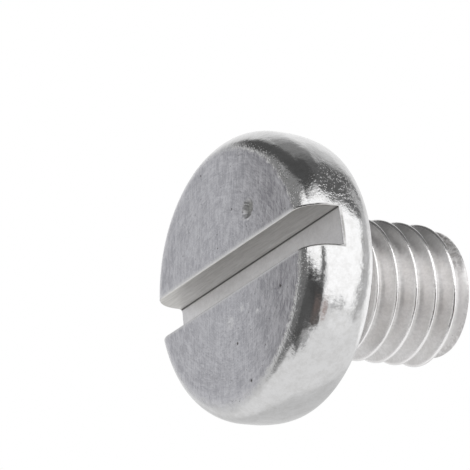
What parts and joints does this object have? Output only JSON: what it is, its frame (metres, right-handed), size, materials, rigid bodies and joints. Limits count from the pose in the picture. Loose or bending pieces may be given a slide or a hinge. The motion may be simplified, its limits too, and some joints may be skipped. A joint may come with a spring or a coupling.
{
  "type": "machine screw",
  "caption": "Slotted pan head machine screw in stainless steel, with a short right-hand thread and a rounded tip.",
  "frame": {"origin": "centre of the driving face, which lies on the ground when the screw stands on its head", "axes": "+Z along the screw's axis from the driving face to the tip, +X along the slot"},
  "size_m": [0.0098, 0.0098, 0.0084],
  "materials": {
    "steel": "bright stainless steel, tumbled satin on the driving face and polished on the rounding, thread and tip"
  },
  "bodies": {
    "root": {"screw": "steel"}
  },
  "joints": []
}
